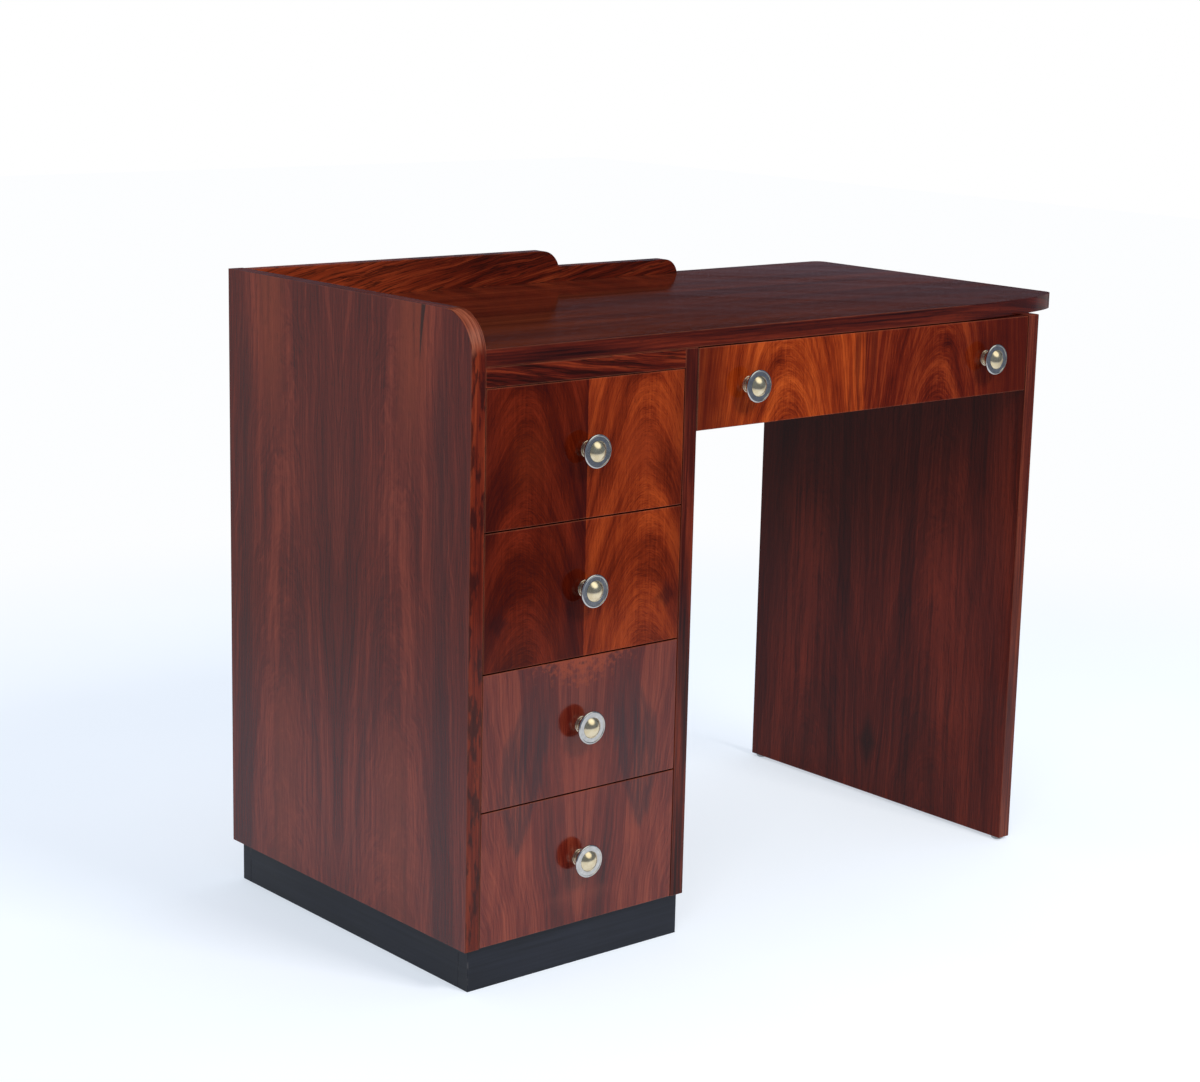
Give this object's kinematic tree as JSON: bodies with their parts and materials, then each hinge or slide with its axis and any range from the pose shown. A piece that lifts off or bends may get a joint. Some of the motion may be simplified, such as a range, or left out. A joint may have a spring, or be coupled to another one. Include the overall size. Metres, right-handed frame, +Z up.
{
  "type": "writing desk",
  "caption": "Writing desk with a drawer pedestal on the left, one wide drawer over an open kneehole, a swept top corner and a stepped upstand at the back.",
  "frame": {"origin": "on the floor, under the middle of the desk's overall box, knobs included", "axes": "+X from the drawer pedestal towards the kneehole and the overhanging end, +Y from the drawer fronts to the back, +Z up"},
  "size_m": [1.02, 0.522, 0.792],
  "materials": {
    "side_veneer": "glossy reddish-brown rosewood veneer, straight grain",
    "top_veneer": "glossy dark rosewood veneer, straight grain along the top",
    "upstand_veneer": "glossy red-brown rosewood with dark streaks",
    "flame_veneer": "glossy book-matched rosewood veneer, orange-brown and dark red",
    "dark_flame_veneer": "glossy book-matched rosewood veneer, darker purple-brown",
    "pale_hardwood": "planed beech, unfinished",
    "plywood": "sanded plywood, unfinished",
    "black_lacquer": "satin blue-black stained wood",
    "nickel": "polished nickel plate",
    "cap_nickel": "polished warm nickel plate",
    "steel": "plain steel"
  },
  "bodies": {
    "case": {"left_side_panel": "side_veneer", "divider_panel": "side_veneer", "right_side_panel": "side_veneer", "desk_top": "top_veneer", "upstand": "upstand_veneer", "top_rail": "flame_veneer", "pedestal_bottom": "pale_hardwood", "pedestal_back": "plywood", "frieze_back_rail": "side_veneer", "plinth_front": "black_lacquer", "plinth_back": "black_lacquer", "plinth_left": "black_lacquer", "plinth_right": "black_lacquer", "plinth_corner_blocks": "pale_hardwood", "pedestal_runners": "pale_hardwood", "frieze_runners": "pale_hardwood", "runner_screws": "steel", "top_cleats": "pale_hardwood", "cleat_screws": "steel", "panel_glides": "steel"},
    "drawer_1": {"drawer_1_front": "flame_veneer", "drawer_1_left_side": "pale_hardwood", "drawer_1_right_side": "pale_hardwood", "drawer_1_back": "pale_hardwood", "drawer_1_bottom": "plywood", "drawer_1_knob": "nickel", "drawer_1_knob_cap": "cap_nickel", "drawer_1_knob_screw": "steel"},
    "drawer_2": {"drawer_2_front": "flame_veneer", "drawer_2_left_side": "pale_hardwood", "drawer_2_right_side": "pale_hardwood", "drawer_2_back": "pale_hardwood", "drawer_2_bottom": "plywood", "drawer_2_knob": "nickel", "drawer_2_knob_cap": "cap_nickel", "drawer_2_knob_screw": "steel"},
    "drawer_3": {"drawer_3_front": "dark_flame_veneer", "drawer_3_left_side": "pale_hardwood", "drawer_3_right_side": "pale_hardwood", "drawer_3_back": "pale_hardwood", "drawer_3_bottom": "plywood", "drawer_3_knob": "nickel", "drawer_3_knob_cap": "cap_nickel", "drawer_3_knob_screw": "steel"},
    "drawer_4": {"drawer_4_front": "dark_flame_veneer", "drawer_4_left_side": "pale_hardwood", "drawer_4_right_side": "pale_hardwood", "drawer_4_back": "pale_hardwood", "drawer_4_bottom": "plywood", "drawer_4_knob": "nickel", "drawer_4_knob_cap": "cap_nickel", "drawer_4_knob_screw": "steel"},
    "frieze_drawer": {"frieze_drawer_front": "flame_veneer", "frieze_drawer_left_side": "pale_hardwood", "frieze_drawer_right_side": "pale_hardwood", "frieze_drawer_back": "pale_hardwood", "frieze_drawer_bottom": "plywood", "frieze_drawer_knobs": "nickel", "frieze_drawer_knob_caps": "cap_nickel", "frieze_drawer_knob_screws": "steel"}
  },
  "joints": [
    {"name": "drawer_1_slide", "type": "slide", "parent": "case", "child": "drawer_1", "axis": [0, -1, 0], "range_m": [0, 0.34]},
    {"name": "drawer_2_slide", "type": "slide", "parent": "case", "child": "drawer_2", "axis": [0, -1, 0], "range_m": [0, 0.34]},
    {"name": "drawer_3_slide", "type": "slide", "parent": "case", "child": "drawer_3", "axis": [0, -1, 0], "range_m": [0, 0.34]},
    {"name": "drawer_4_slide", "type": "slide", "parent": "case", "child": "drawer_4", "axis": [0, -1, 0], "range_m": [0, 0.34]},
    {"name": "frieze_drawer_slide", "type": "slide", "parent": "case", "child": "frieze_drawer", "axis": [0, -1, 0], "range_m": [0, 0.34]}
  ]
}
